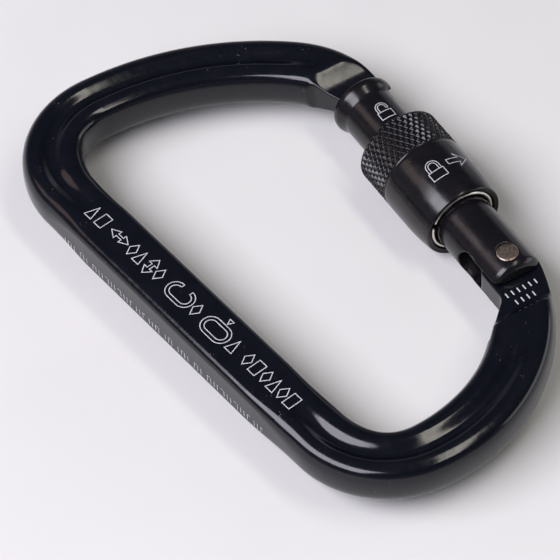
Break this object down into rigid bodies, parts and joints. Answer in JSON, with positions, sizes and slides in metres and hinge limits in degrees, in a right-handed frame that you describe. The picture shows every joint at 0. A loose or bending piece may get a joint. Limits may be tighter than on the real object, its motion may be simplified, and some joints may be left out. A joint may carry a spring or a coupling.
{
  "type": "locking carabiner",
  "caption": "Offset-D locking carabiner with a keylock nose, a hinged barrel gate and a knurled screw sleeve with a split retaining ring.",
  "frame": {"origin": "centre of the bounding box of the closed, unlocked carabiner, in the middle plane of the bar", "axes": "+X from the nose end to the hinge end, +Y from the spine to the gate, +Z through the thickness"},
  "size_m": [0.1164, 0.0692, 0.0172],
  "materials": {
    "black_anodised": "glossy black anodised",
    "black_anodised_gate": "satin-gloss black anodised",
    "rivet_steel": "peened, dull with a warm tint",
    "ring_steel": "bright drawn wire",
    "spring_steel": "bright spring wire",
    "plunger_steel": "turned, smooth"
  },
  "bodies": {
    "frame": {"body": "black_anodised"},
    "gate": {"gate": "black_anodised_gate", "hinge_rivet": "rivet_steel", "gate_spring": "spring_steel"},
    "ring": {"sleeve_retaining_ring": "ring_steel"},
    "sleeve": {"locking_sleeve": "black_anodised_gate"},
    "plunger": {"spring_plunger": "plunger_steel"}
  },
  "joints": [
    {"name": "gate_hinge", "type": "hinge", "parent": "frame", "child": "gate", "pos_m": [0.02983, 0.021, 0], "axis": [0, 0, 1], "range_deg": [0, 26], "stiffness_Nm_per_rad": 0.35, "springref_deg": -34.38},
    {"name": "sleeve_travel", "type": "slide", "parent": "gate", "child": "ring", "axis": [-0.9903, 0.1392, 0], "range_m": [0, 0.015]},
    {"name": "sleeve_turn", "type": "hinge", "parent": "ring", "child": "sleeve", "pos_m": [0.02983, 0.021, 0], "axis": [-0.9903, 0.1392, 0], "range_deg": [0, 2160]},
    {"name": "plunger_slide", "type": "slide", "parent": "gate", "child": "plunger", "axis": [-0.9903, 0.1392, 0], "range_m": [0, 0.00095], "deforming": ["gate_spring"]}
  ],
  "couplings": [
    {"joint": "sleeve_travel", "follows": "sleeve_turn", "m_per_rad": 0.00039789},
    {"joint": "plunger_slide", "follows": "gate_hinge", "m_per_rad": 0.002}
  ]
}
